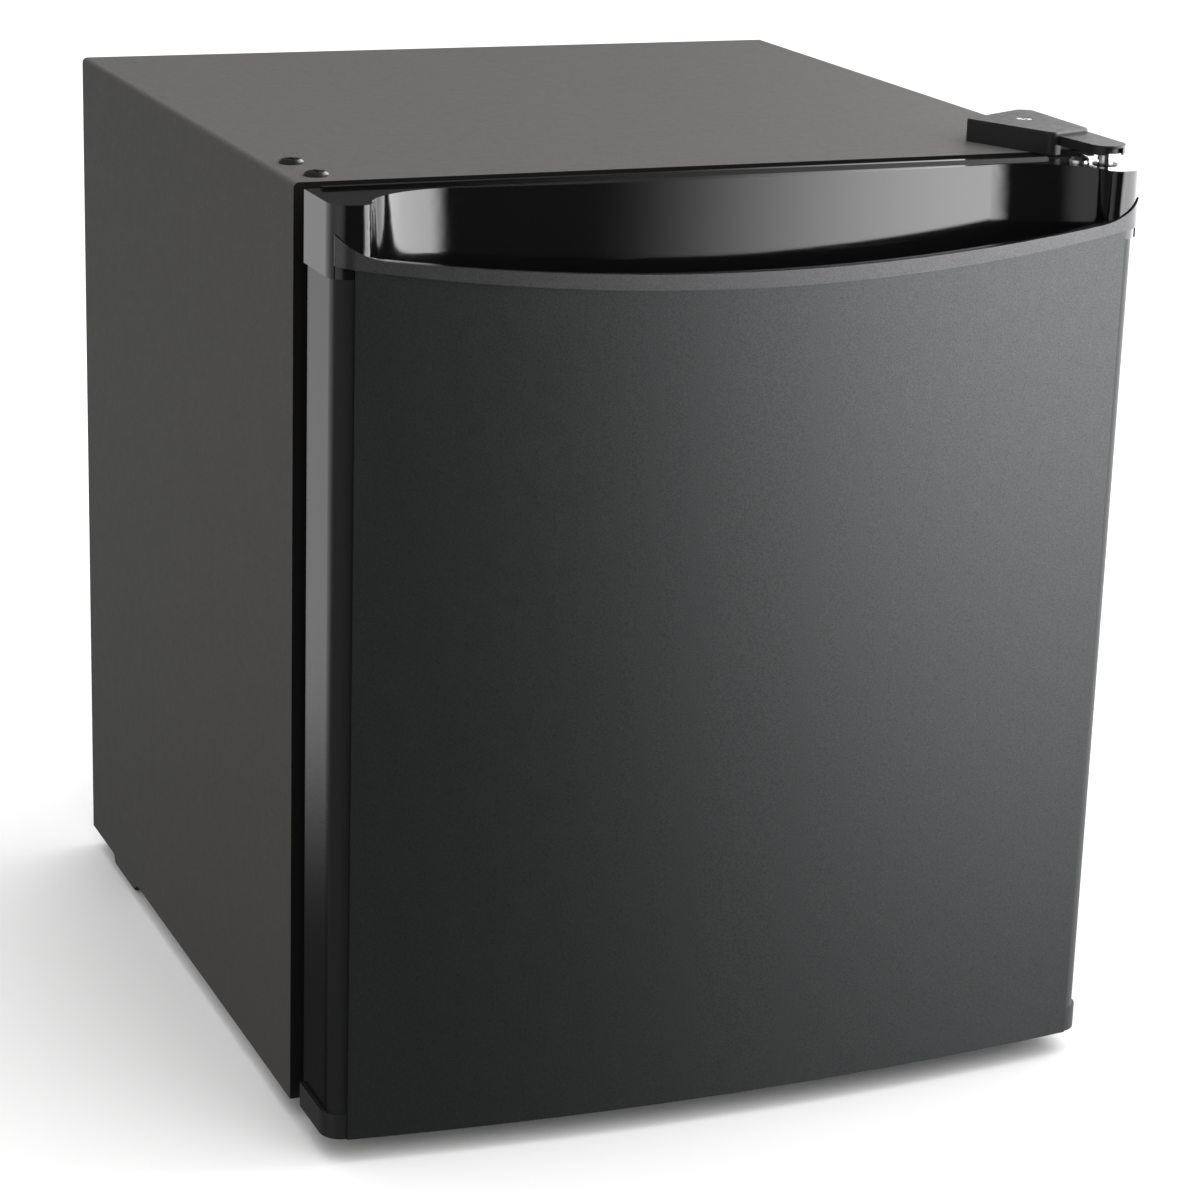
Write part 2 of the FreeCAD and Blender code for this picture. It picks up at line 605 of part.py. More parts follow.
def condenser(side, sign):
    """One side wall's condenser: level passes in the foam against the steel, joined by bends."""
    x = "%s(%s - skin - tube_radius - 0.2)" % (sign, HALF)
    near, far, rows, pitch = behind(40), behind(385), 6, 44
    points = []
    for i in range(rows):
        z = "%s + 26 + %d" % (BAY_TOP, i * pitch)
        ends = (near, far) if i % 2 == 0 else (far, near)
        points += [(x, end, z) for end in ends]
    return bent_tube("condenser_" + side, points, 18, "tube_radius")


# ---------------------------------------------------------------- feet and hinges

def feet():
    """Two moulded skids at the back and two screw feet at the front."""
    skids = []
    for side, sign in SIDES:
        inner, outer = "(%s - skid_inset - skid_width)" % HALF, "(%s - skid_inset)" % HALF
        span = (inner, outer) if side == "right" else ("-" + outer, "-" + inner)
        skid = extruded("skid_" + side, "YZ", span[0], span[1], [
            (behind("skid_front"), BASE), (behind("skid_back"), BASE), (behind("skid_back"), "6"),
            (behind("skid_back - 4"), "0"), (behind("skid_front + 12"), "0"), (behind("skid_front"), "6")])
        soften(skid, "skid_round_" + side, 2, lambda edge: max(corner.Z for corner in edge.Vertexes) < 6.1)
        skids.append(skid)
    node(group("rear_feet", *skids))
    for side, sign in SIDES:
        radius = "front_foot_radius"
        node(turned("front_%s_foot" % side, [
            ("0", "0"), (radius + " - 2", "0"), (radius, "2"), (radius, "8"), (radius + " - 4", "11"),
            ("4", "11"), ("4", "30"), ("0", "30")], sign + "front_foot_x", behind("front_foot_y - 6"), "0"))
    node(group("foot_nuts", *[
        cut("nut_" + side,
            rod("nut_solid_" + side, "z", sign + "front_foot_x", behind("front_foot_y - 6"), BASE + " + 2", 8, 8),
            rod("nut_hole_" + side, "z", sign + "front_foot_x", behind("front_foot_y - 6"), BASE + " + 1",
                "4 + running_gap", 10)) for side, sign in SIDES]))


def arm_region(name, radius, low, high, root):
    """A flat arm from two root corners to a round tip about the hinge pin."""
    radius = measure(radius)
    centre = Vector(measure("pin_x"), measure(PIN_Y), 0)
    left, right = (Vector(measure(px), measure(py), 0) for px, py in root)
    side = Vector(1, 0, 0) * radius
    nose = Vector(0, -1, 0) * radius
    arc = Part.Arc(centre + side, centre + nose, centre - side)
    edges = [Part.LineSegment(left, right).toShape(), Part.LineSegment(right, centre + side).toShape(),
             arc.toShape(), Part.LineSegment(centre - side, left).toShape()]
    arm = doc.addObject("Part::Feature", name)
    arm.Shape = Part.Face(Part.Wire(edges)).extrude(Vector(0, 0, measure(high) - measure(low)))
    arm.Placement = Placement(Vector(0, 0, measure(low)), Rotation())
    return arm


COVER_PLAN = [("165.5", 41), ("210", 64), ("217.5", 60), ("217.5", -2), ("190", -12)]


def upper_hinge():
    """A stepped bracket on the cabinet's top with the pin at its nose, under a moulded cover."""
    low, high = TOP, TOP + " + bracket_plate"
    arm_low, arm_high = TOP + " + arm_rise", TOP + " + arm_rise + bracket_plate"
    plates = [
        block("hinge_plate_root", (194, 213), (behind(6), behind(44)), (low, high)),
        block("hinge_plate_left", (178, 194), (behind(23), behind(44)), (low, high)),
        block("hinge_plate_back", (199, 213), (behind(44), behind(56)), (low, high)),
    ]
    riser = block("hinge_riser", (194, 213), (behind(3.5), behind(6)), (low, arm_high))
    arm = arm_region("hinge_arm", "arm_radius", arm_low, arm_high, [("194", behind(6)), ("213", behind(6))])
    screws = [
        join("hinge_screw_%d" % i, rod("hinge_screw_shaft_%d" % i, "z", x, behind(y), TOP + " - 11", 3, 13.5),
             rod("hinge_screw_head_%d" % i, "z", x, behind(y), high, 6, 2.8))
        for i, (x, y) in enumerate(HINGE_SCREW_PLACES)]
    holes = [rod("hinge_plate_hole_%d" % i, "z", x, behind(y), TOP + " - 1", 3, 5)
             for i, (x, y) in enumerate(HINGE_SCREW_PLACES)]
    pin_low, pin_high = "(%s - 12)" % DOOR_TOP, "(%s + 0.6)" % arm_high
    pin_hole = rod("arm_pin_hole", "z", "pin_x", PIN_Y, TOP, "pin_radius", 20)
    node(cut("upper_hinge_bracket", join("hinge_raw", riser, arm, *plates), pin_hole, *holes))
    pin = rod("upper_pin_raw", "z", "pin_x", PIN_Y, pin_low, "pin_radius", "%s - %s" % (pin_high, pin_low))
    top_z = measure(pin_high)
    node(rounded("upper_hinge_pin", pin, 0.8, lambda edge: edge.Vertexes[0].Z > top_z - 0.1 and edge.isClosed()))
    node(group("upper_hinge_screws", *screws))

    plan = [(x, behind(y)) for x, y in COVER_PLAN]
    cover = extruded("cover_block", "XY", TOP, TOP + " + cover_height", plan)
    soften(cover, "cover_uprights", 4, upright)
    roof = measure(TOP + " + cover_height")
    soften(cover, "cover_rim", 1.2, lambda edge: min(v.Z for v in edge.Vertexes) > roof - 0.01)
    hollow = doc.addObject("Part::Feature", "cover_hollow")
    outline = Part.Wire(Part.makePolygon([Vector(measure(a), measure(b), 0) for a, b in plan + plan[:1]]))
    inner = outline.makeOffset2D(-measure("cover_wall"))
    hollow.Shape = Part.Face(inner).extrude(Vector(0, 0, measure("cover_height - cover_wall") + 5))
    hollow.Placement = Placement(Vector(0, 0, measure(TOP) - 5), Rotation())
    visor_low, visor_high = TOP + " + visor_low", TOP + " + visor_high"
    visor = arm_region("cover_visor", "visor_radius", visor_low, visor_high,
                       [("192", behind(6)), ("217", behind(6))])
    slot = arm_region("cover_slot", "arm_radius + 0.3", visor_low + " - 6", arm_high + " + 0.2",
                      [("193.5", behind(9)), ("213.5", behind(9))])
    notch = block("cover_notch", ("pin_x - 5", "pin_x + 5"), (behind("-pin_ahead - 14"), PIN_Y),
                  (visor_low + " - 1", visor_high + " - 1.2"))
    pin_gap = rod("cover_pin_gap", "z", "pin_x", PIN_Y, TOP, "pin_radius + 0.4", "visor_high - 1")
    screw_x, screw_y = "198", behind(34)
    sink_floor = TOP + " + cover_height - 1.2"
    sink = rod("cover_screw_sink", "z", screw_x, screw_y, sink_floor, 4.5, 3)
    hole = rod("cover_screw_hole", "z", screw_x, screw_y, TOP + " + 5", 2, 10)
    node(cut("hinge_cover", join("cover_joined", cut("cover_shell", cover, hollow), visor),
             slot, notch, pin_gap, sink, hole))
    screw = join("cover_screw_raw", rod("cover_screw_head", "z", screw_x, screw_y, sink_floor, 4.3, 1),
                 rod("cover_screw_shaft", "z", screw_x, screw_y, high, 2, "cover_height - bracket_plate - 1.2"))
    recess = cross("cover_screw_cross", screw_x, screw_y, TOP + " + cover_height - 0.9", 5)
    node(cut("hinge_cover_screw", screw, *recess))


def cross(name, x, y, z, reach):
    """Two thin blades that cut a cross recess."""
    def span(place, half):
        return ("%s - %s" % (place, half), "%s + %s" % (place, half))

    height = (z, z + " + 3")
    return [block(name + "_x", span(x, reach / 2), span(y, 0.7), height),
            block(name + "_y", span(x, 0.7), span(y, reach / 2), height)]


def hole_plugs():
    """Cross-head screws that close the unused hinge holes at the top's left corner."""
    plugs = []
    for i, (x, y) in enumerate(PLUG_PLACES):
        profile = [("0", "-9"), ("3", "-9"), ("3", "0"), ("6.2", "0"), ("6.2", "1"), ("4.6", "2.2"), ("0", "2.4")]
        raw = turned("plug_raw_%d" % i, profile, x, behind(y), TOP)
        plugs.append(cut("plug_%d" % i, raw, *cross("plug_cross_%d" % i, x, behind(y), TOP + " + 1.2", 6)))
    node(group("hinge_hole_plugs", *plugs))


def lower_hinge():
    """A flat bracket under the cabinet whose arm carries the lower pin."""
    high, low = BASE, "(foot_height - bracket_plate)"
    plate = block("lower_plate", (198, 218), (behind(-20), behind(70)), (low, high))
    arm = arm_region("lower_arm", 10, low, high, [("198", behind(0)), ("218", behind(0))])
    places = [("208", 14), ("208", 34), ("208", 58)]
    screws = [rod("lower_screw_%d" % i, "z", x, behind(y), low + " - 2.2", 5.5, 2.2)
              for i, (x, y) in enumerate(places)]
    pin_hole = rod("lower_pin_hole", "z", "pin_x", PIN_Y, "0", "pin_radius", 20)
    node(cut("lower_hinge_bracket", join("lower_raw", plate, arm), pin_hole))
    node(rod("lower_hinge_pin", "z", "pin_x", PIN_Y, low, "pin_radius", DOOR_LOW + " + 11.5 - " + low))
    node(group("lower_hinge_screws", *screws))


# ---------------------------------------------------------------- door

def door_slab(name, low, high, face=0, side=0, corner="door_corner", back=DOOR_BACK):
    """The door's plan shape between two heights: flat back, bowed face and round front corners.

    face and side set the face and the sides in from the door's outline.
    """
    core = block(name + "_core", both("%s - (%s)" % (DOOR_HALF, side)), (DOOR_FACE, back), (low, high))
    bow = rod(name + "_bow", "z", 0, "%s + %s" % (DOOR_FACE, BOW_RADIUS), low,
              "%s - (%s)" % (BOW_RADIUS, face), "(%s) - (%s)" % (high, low))
    slab = common(name + "_plan", core, bow)
    limit = measure("(%s + %s) / 2" % (DOOR_FACE, DOOR_BACK))
    return rounded(name, slab, corner, lambda edge: upright(edge) and edge.Vertexes[0].Y < limit)


def front_region(name, edges):
    """A prism through the whole door whose front view is the closed outline given by edges."""
    prism = doc.addObject("Part::Feature", name)
    depth = measure("%s - %s" % (FRONT, DOOR_FACE)) + 20
    prism.Shape = Part.Face(Part.Wire(edges)).extrude(Vector(0, depth, 0))
    prism.Placement = Placement(Vector(0, measure(DOOR_FACE) - 10, 0), Rotation())
    return prism


def seen(x, z):
    """A point of a front-view outline."""
    return Vector(x, 0, z)


def line(a, b):
    return Part.LineSegment(a, b).toShape()


def bend_through(a, middle, b):
    return Part.Arc(a, middle, b).toShape()


def bend_from(start, heading, end):
    """The arc that leaves start along a heading and stops at end."""
    chord = end - start
    turn = heading.getAngle(chord)
    side = heading - chord * (heading.dot(chord) / chord.dot(chord))
    middle = (start + end) / 2 + side.normalize() * (chord.Length / 2 * math.tan(turn / 2))
    return bend_through(start, middle, end)


def mirrored(edge):
    """The same edge on the other side of the middle plane."""
    return edge.mirror(Vector(), Vector(1, 0, 0))


def lip_top(top, half):
    """The lip's upper edge from left to right: it dips in the middle and curls up round both end posts."""
    turn = half - measure("lip_curl")
    low = top - measure("lip_turn_drop")
    dip = seen(0, top - measure("lip_high"))
    right_turn = seen(turn, low)
    main = bend_through(seen(-turn, low), dip, right_turn)
    heading = main.tangentAt(main.LastParameter)
    curl = bend_from(right_turn, heading, seen(half, low + measure("lip_curl_rise")))
    return [mirrored(curl), main, curl]


def closed_at(upper, level):
    """The outline between the lip's upper edge and a level line."""
    right = upper[-1].Vertexes[-1].Point
    corners = [seen(right.x, level), seen(-right.x, level)]
    left = seen(-right.x, right.z)
    return upper + [line(right, corners[0]), line(corners[0], corners[1]), line(corners[1], left)]


def grip_room(floor):
    """The grip's space, open at the front: a leaning back wall that follows the door's bow.

    Both ends of the wall sweep forward and meet the end posts at a steep angle.
    """
    height, half = measure(TOP) - measure(floor), measure("grip_half")
    slide = height * math.tan(math.radians(measure("grip_lean")))
    back, face = measure(behind("-grip_back")), measure(DOOR_FACE)
    bow = measure(BOW_RADIUS)
    wall_radius = bow - (back - face)
    start_x = half - measure("grip_sweep")
    slope = math.asin(start_x / wall_radius)
    start = Vector(start_x, back + wall_radius * (1 - math.cos(slope)), 0)
    leaving = Vector(math.cos(slope), math.sin(slope), 0)
    angle = math.radians(measure("grip_end_angle"))
    arriving = Vector(math.cos(angle), -math.sin(angle), 0)
    post_y = face + bow - math.sqrt(bow * bow - half * half) + measure("post_inset")
    crease = Vector(half, post_y - slide, 0)
    straight = 1.5 * measure("post_round")
    end, tip = crease - arriving * straight, crease + arriving * straight
    sweep = Part.BezierCurve()
    sweep.setPoles([start, start + leaving * (0.55 * (end.x - start.x)),
                    end - arriving * (0.4 * (start.y - end.y)), end])
    side = [sweep.toShape(), line(end, tip), line(tip, Vector(tip.x, face - 2 * slide, 0))]
    middle = bend_through(Vector(-start.x, start.y, 0), Vector(0, back, 0), start)
    opening = line(Vector(tip.x, face - 2 * slide, 0), Vector(-tip.x, face - 2 * slide, 0))
    outline = Part.Wire(Part.__sortEdges__([middle, opening] + side + [mirrored(edge) for edge in side]))
    room = doc.addObject("Part::Feature", "grip_room")
    room.Shape = Part.Face(outline).extrude(Vector(0, slide, height))
    room.Placement = Placement(Vector(0, 0, measure(floor)), Rotation())
    return room


def grip_lip():
    """The thin curved lip in front of the grip, following the door's bow."""
    top, half = measure(DOOR_TOP), measure("lip_half")
    low_end, low_dip = top - measure("lip_low_end"), seen(0, top - measure("lip_low"))
    upper = lip_top(top, half)
    tip = upper[-1].Vertexes[-1].Point
    view = front_region("lip_view", upper + [
        line(tip, seen(half, low_end)),
        bend_through(seen(half, low_end), low_dip, seen(-half, low_end)),
        line(seen(-half, low_end), seen(-half, tip.z))])
    floor = DOOR_TOP + " - top_cap_height"
    shell = cut("lip_shell", door_slab("lip_outer", floor, DOOR_TOP),
                door_slab("lip_inner", floor, DOOR_TOP, "lip_wall", "lip_wall"))
    ahead = block("lip_ahead", both(HALF), (DOOR_FACE, "%s - door_side_depth + 10" % DOOR_BACK), (BASE, TOP))
    return node(common("handle_lip", common("lip_front", shell, ahead), view))


def panel():
    """The bowed steel panel, from the door's foot up to the lip's lower edge."""
    top, half, edge = measure(DOOR_TOP), measure("lip_half"), measure("panel_half")
    dip_z, end_z = top - measure("lip_low"), top - measure("lip_low_end")
    edge_z = dip_z + (end_z - dip_z) * (edge / half) ** 2
    low = measure(DOOR_LOW)
    view = front_region("panel_view", [
        line(seen(-edge, low), seen(edge, low)),
        line(seen(edge, low), seen(edge, edge_z)),
        bend_through(seen(edge, edge_z), seen(0, dip_z), seen(-edge, edge_z)),
        line(seen(-edge, edge_z), seen(-edge, low))])
    inside = "panel_inset + panel_steel"
    shell = cut("panel_shell",
                door_slab("panel_outer", DOOR_LOW, DOOR_TOP, "panel_inset", "panel_inset"),
                door_slab("panel_inner", DOOR_LOW, DOOR_TOP, inside, inside, back=DOOR_BACK + " - 20"),
                block("panel_back_cut", both(HALF), (DOOR_BACK + " - 25", FRONT), (BASE, TOP)))
    node(common("door_panel", shell, view))


def side_trims(cap_low, wrap_z, lip):
    """The gloss strips down the door's sides, each turned round its front corner up to the panel."""
    trims = []
    for side, low, high in (("left", "-" + HALF, "-panel_half"), ("right", "panel_half", HALF)):
        inside = "trim_inset + trim_wall"
        shell = cut("trim_shell_" + side,
                    door_slab("trim_outer_" + side, cap_low, wrap_z, "trim_inset", "trim_inset"),
                    door_slab("trim_inner_" + side, cap_low, wrap_z, inside, inside, "door_corner - trim_wall"))
        stripe = block("trim_side_" + side, (low, high), (DOOR_FACE, DOOR_BACK), (cap_low, wrap_z))
        trims.append(node(cut("side_trim_" + side, common("trim_" + side, shell, stripe), copy_of(lip, side))))
    return trims


def top_cap(wrap_z, lip, trims, screw):
    """The moulded cap that closes the door's top and holds the grip."""
    floor = "(%s - top_cap_height)" % DOOR_TOP
    upper = lip_top(measure(DOOR_TOP), measure("lip_half"))
    below_lip = front_region("below_lip", closed_at(upper, measure(floor) - 1))
    above_lip = front_region("above_lip", closed_at(upper, measure(TOP) + 1))
    grip = grip_room(floor + " + pocket_floor")
    slab = cut("cap_columns", door_slab("cap_slab", wrap_z, DOOR_TOP, "post_inset", 0, "post_corner"),
               copy_of(grip, "columns"))
    half, post_face = measure("grip_half"), measure(behind("-50"))

    def crease(edge):
        ends = [corner.Point for corner in edge.Vertexes]
        return len(ends) == 2 and all(abs(abs(end.x) - half) < 3 and end.y < post_face for end in ends) and (
            abs(ends[0].z - ends[1].z) > 1)

    posts = cut("cap_posts", rounded("cap_rounded", slab, "post_round", crease), copy_of(below_lip))
    behind_lip = "lip_wall + 2 * fit_gap"
    front = common("cap_front", door_slab("cap_front_slab", wrap_z, DOOR_TOP, behind_lip, 0, "door_corner - 1"),
                   below_lip)
    lower = door_slab("cap_lower", floor, wrap_z, behind_lip, "trim_inset + trim_wall + fit_gap",
                      "door_corner - trim_wall")
    bead = block("cap_bead", ("8 - " + DOOR_HALF, "186"),
                 ("%s - 0.5 - bead_depth" % DOOR_BACK, DOOR_BACK + " - 0.5"),
                 (DOOR_TOP + " - 1", DOOR_TOP + " + bead_rise"))
    opening = common("grip_opening", copy_of(grip, "opening"), above_lip)
    pocket = common("grip_pocket", copy_of(grip, "pocket"),
                    door_slab("pocket_slab", floor, TOP, "lip_wall + pocket_wall", 0))
    bush_hole = rod("top_bush_hole", "z", "pin_x", PIN_Y, DOOR_TOP + " - 14", "bush_radius", 20)
    node(cut("door_top_cap", join("cap_raw", posts, front, lower, bead), opening, pocket, bush_hole,
             copy_of(lip, "cap"), copy_of(screw), copy_of(doc.getObject("liner_plate"), "cap"),
             *[copy_of(trim) for trim in trims]))


def bottom_cap(cap_low):
    """The moulded tray that closes the door's foot behind the panel and carries the lower bush."""
    shell = cut("bottom_cap_shell",
                door_slab("bottom_outer", DOOR_LOW, cap_low, "panel_inset + panel_steel + fit_gap"),
                door_slab("bottom_inner", DOOR_LOW + " + trim_wall", cap_low, "trim_inset + trim_wall + fit_gap",
                          "trim_wall", "door_corner - trim_wall", DOOR_BACK + " - trim_wall"))
    boss = rod("hinge_boss", "z", "pin_x", PIN_Y, DOOR_LOW, "bush_radius + 3", "bottom_cap_height")
    hole = rod("bottom_bush_hole", "z", "pin_x", PIN_Y, DOOR_LOW + " - 1", "bush_radius", 20)
    node(cut("door_bottom_cap", join("bottom_raw", shell, boss), hole, copy_of(doc.getObject("liner_plate"))))


def door_front():
    """The bowed panel, the side trims, the grip lip, the two end caps and the hinge bushes."""
    cap_low = "(%s + bottom_cap_height)" % DOOR_LOW
    wrap_z = "(%s - top_cap_wrap)" % DOOR_TOP
    lip = grip_lip()
    panel()
    trims = side_trims(cap_low, wrap_z, lip)
    screw = turned("door_cap_screw", [("0", "-8"), ("2", "-8"), ("2", "0"), ("6", "0"), ("5.7", "1.4"),
                                      ("4.4", "3"), ("2.2", "3.9"), ("0", "4.1")],
                   "cap_screw_x", behind("-cap_screw_ahead"), DOOR_TOP)
    top_cap(wrap_z, lip, trims, node(screw))
    bottom_cap(cap_low)
    for label, low, high in (("upper_hinge_bush", DOOR_TOP + " - 14", DOOR_TOP + " + 0.5"),
                             ("lower_hinge_bush", DOOR_LOW + " - 0.4", cap_low)):
        node(cut(label, rod(label + "_outer", "z", "pin_x", PIN_Y, low, "bush_radius", "%s - (%s)" % (high, low)),
                 rod(label + "_bore", "z", "pin_x", PIN_Y, low + " - 1", "pin_radius + running_gap", 30)))


def ring(name, x, y, z, band):
    """A rectangular ring in the front plane: its outer ranges and the width of its band."""
    def within(span, margin):
        return ("(%s) + (%s)" % (span[0], margin), "(%s) - (%s)" % (span[1], margin))

    outer = block(name + "_outer", x, y, z)
    inner = block(name + "_inner", within(x, band), within(y, -1), within(z, band))
    return cut(name, outer, inner)


def door_back():
    """The inner liner with its raised rim, the foam behind it, the gasket and the racks."""
    rim_z = (CAVITY_LOW + " + rim_clearance", CAVITY_TOP + " - rim_clearance")
    skin_back = DOOR_BACK + " - liner_wall"
    plate = block("liner_plate", both("panel_half + 4"), (skin_back, DOOR_BACK),
                  (DOOR_LOW + " + 10", DOOR_TOP + " - 10"))
    rim = ring("liner_rim", both("rim_half"), (skin_back, behind("rim_reach")), rim_z, "rim_band")
    rim_end = measure(behind("rim_reach"))
    rim = rounded("liner_rim_round", rim, 5,
                  lambda edge: abs(min(corner.Y for corner in edge.Vertexes) - rim_end) < 0.01)
    core = ring("door_rim_foam", both("rim_half - 2"), (skin_back, behind("rim_reach - 5")),
                (rim_z[0] + " + 2", rim_z[1] + " - 2"), "rim_band - 4")
    node(cut("door_liner", join("door_liner_raw", plate, rim), copy_of(core)))
    node(core)
    foam_z = (DOOR_LOW + " + bottom_cap_height", DOOR_TOP + " - top_cap_height")
    node(common("door_foam",
                door_slab("foam_slab", *foam_z, "panel_inset + panel_steel + fit_gap", 0, 6, skin_back),
                block("foam_span", both("panel_half - 4"), (DOOR_FACE, FRONT), foam_z)))

    gasket_z = (BASE + " + 49 - gasket_inset", TOP + " - gasket_inset")
    face = behind("-gasket_clearance")
    gasket = ring("gasket_solid", both("gasket_half"), (DOOR_BACK, face), gasket_z, "gasket_band")
    margin = "(gasket_band - magnet_band) / 2"
    magnet = ring("gasket_magnets", both("gasket_half - " + margin),
                  (face + " - magnet_depth - 0.6", face + " - 0.6"),
                  ("%s + %s" % (gasket_z[0], margin), "%s - %s" % (gasket_z[1], margin)), "magnet_band")
    groove = ring("gasket_groove", both("gasket_half - 2"), (DOOR_BACK + " + 3", face + " - 6"),
                  (gasket_z[0] + " + 2", gasket_z[1] + " - 2"), "gasket_band - 4")
    node(cut("door_gasket", gasket, copy_of(magnet), groove))
    node(magnet)
    for label in ("lower_rack", "upper_rack"):
        low, high = label + "_z", "%s_z + %s_height" % (label, label)
        side = "(rim_half - rim_band)"
        rack = extruded(label, "XY", low, high, rectangle(both(side), (DOOR_BACK, behind("rack_reach"))))
        soften(rack, label + "_corners", 8, lambda edge: upright(edge) and edge.Vertexes[0].Y > measure(FRONT))
        pocket_in(rack, label + "_hollow", "XY", low + " + rack_wall", high, rectangle(
            both(side + " - rack_wall"), (DOOR_BACK + " + rack_wall", behind("rack_reach - rack_wall"))))
        window = (behind("rack_reach - rack_wall - 3"), behind("rack_reach + 1"))
        for i in range(3):
            edge_low = "%s + rack_wall + 12 + %d" % (low, i * 11)
            pocket_in(rack, "%s_slot_%d" % (label, i), "XZ", window[0], window[1], rectangle(
                both("rim_half - 50"), (edge_low, edge_low + " + 5")))
        node(rack)


# ---------------------------------------------------------------- the assembly

liner_outside = liner()
outer_shell()
back_and_base()
cabinet_foam(liner_outside)
chiller()
drip_tray()
wire_shelf()
thermostat()
compressor_bay()
feet()
upper_hinge()
hole_plugs()
lower_hinge()
door_back()
door_front()
doc.recompute()

failed = [item.Name for item in doc.Objects if "Invalid" in item.State or "Error" in item.State]
if failed:
    raise RuntimeError("failed: " + ", ".join(failed))
for item in nodes:
    shape = item.Shape
    if shape.isNull() or not shape.isValid() or not shape.Solids:
        raise RuntimeError(item.Label + " has no valid solid")
for item in nodes:
    item.Shape.exportStep("parts/%s.step" % item.Label)
    print("%-26s %2d solids %9.1f cm3" % (item.Label, len(item.Shape.Solids), item.Shape.Volume / 1000))
print(len(nodes), "nodes")
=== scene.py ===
import functools
import json
import math

import bmesh
import bpy
from mathutils import Matrix, Vector


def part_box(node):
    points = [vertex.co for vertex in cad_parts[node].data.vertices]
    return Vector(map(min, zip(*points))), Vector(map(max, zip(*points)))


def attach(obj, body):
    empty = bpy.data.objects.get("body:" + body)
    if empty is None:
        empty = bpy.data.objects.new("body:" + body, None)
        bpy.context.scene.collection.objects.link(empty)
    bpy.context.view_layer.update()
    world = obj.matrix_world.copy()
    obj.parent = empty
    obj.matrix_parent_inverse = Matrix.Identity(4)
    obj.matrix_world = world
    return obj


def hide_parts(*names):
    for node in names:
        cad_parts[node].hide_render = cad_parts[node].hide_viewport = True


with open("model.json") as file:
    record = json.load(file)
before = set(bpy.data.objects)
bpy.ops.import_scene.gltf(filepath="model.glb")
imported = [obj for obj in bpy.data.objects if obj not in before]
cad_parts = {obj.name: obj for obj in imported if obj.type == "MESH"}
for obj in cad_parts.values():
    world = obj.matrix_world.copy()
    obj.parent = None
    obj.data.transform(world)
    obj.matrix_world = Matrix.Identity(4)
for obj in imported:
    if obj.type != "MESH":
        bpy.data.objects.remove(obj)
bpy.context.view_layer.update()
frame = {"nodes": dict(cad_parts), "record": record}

NODES = frame["nodes"]
MM = 0.001


# ---------------------------------------------------------------- material helpers

class Surface:
    """A node material built round one Principled shader, in the object's own coordinates."""

    def __init__(self, name, rough, metallic=0.0, coat=0.0, coat_rough=0.05, specular=0.5):
        self.material = bpy.data.materials.new(name)
        self.material.use_nodes = True
        self.tree = self.material.node_tree
        self.shader = self.tree.nodes["Principled BSDF"]
        self.shader.inputs["Roughness"].default_value = rough
        self.shader.inputs["Metallic"].default_value = metallic
        self.shader.inputs["Coat Weight"].default_value = coat
        self.shader.inputs["Coat Roughness"].default_value = coat_rough
        self.shader.inputs["Specular IOR Level"].default_value = specular
        self.place = self.node("ShaderNodeTexCoord").outputs["Object"]
        self.relief = None

    def node(self, kind, **inputs):
        made = self.tree.nodes.new(kind)
        for name, value in inputs.items():
            socket = made.inputs[name.replace("_", " ")]
            if isinstance(value, bpy.types.NodeSocket):
                self.tree.links.new(value, socket)
            else:
                socket.default_value = value
        return made

    def stretched(self, scale):
        """The object's coordinates scaled by a different factor on each axis."""
        return self.node("ShaderNodeMapping", Vector=self.place, Scale=scale).outputs["Vector"]

    def noise(self, scale, detail=3.0, place=None):
        place = place or self.place
        return self.node("ShaderNodeTexNoise", Vector=place, Scale=scale, Detail=detail).outputs["Fac"]

    def spread(self, value, low, high, start=0.3, end=0.7):
        """Value mapped from start..end to low..high."""
        ranged = self.node("ShaderNodeMapRange", Value=value)
        for name, number in (("From Min", start), ("From Max", end), ("To Min", low), ("To Max", high)):
            ranged.inputs[name].default_value = number
        return ranged.outputs["Result"]

    def colours(self, value, first, second):
        mixed = self.node("ShaderNodeMix")
        mixed.data_type = "RGBA"
        self.tree.links.new(value, mixed.inputs[0])
        mixed.inputs[6].default_value = (*first, 1)
        mixed.inputs[7].default_value = (*second, 1)
        return mixed.outputs[2]

    def colour(self, value, first, second):
        self.tree.links.new(self.colours(value, first, second), self.shader.inputs["Base Color"])

    def rough(self, value):
        self.tree.links.new(value, self.shader.inputs["Roughness"])

    def bump(self, height, strength, distance):
        """Add one layer of relief; layers stack."""
        made = self.node("ShaderNodeBump", Height=height, Strength=strength, Distance=distance)
        if self.relief:
            self.tree.links.new(self.relief, made.inputs["Normal"])
        self.relief = made.outputs["Normal"]
        self.tree.links.new(self.relief, self.shader.inputs["Normal"])


def tint(colour, factor):
    return tuple(channel * factor for channel in colour)


def moulded(name, colour, rough, grain, depth, coat=0.0, vary=0.06):
    """Moulded plastic: a faint flow of shade, fine grain and uneven gloss."""
    surface = Surface(name, rough, coat=coat)
    cloud = surface.spread(surface.noise(60.0), 0.0, 1.0)
    surface.colour(cloud, tint(colour, 1 - vary), tint(colour, 1 + vary))
    surface.rough(surface.spread(surface.noise(220.0, 4.0), rough * 0.9, min(1.0, rough * 1.1)))
    surface.bump(surface.noise(grain, 2.0), 0.5, depth)
    return surface


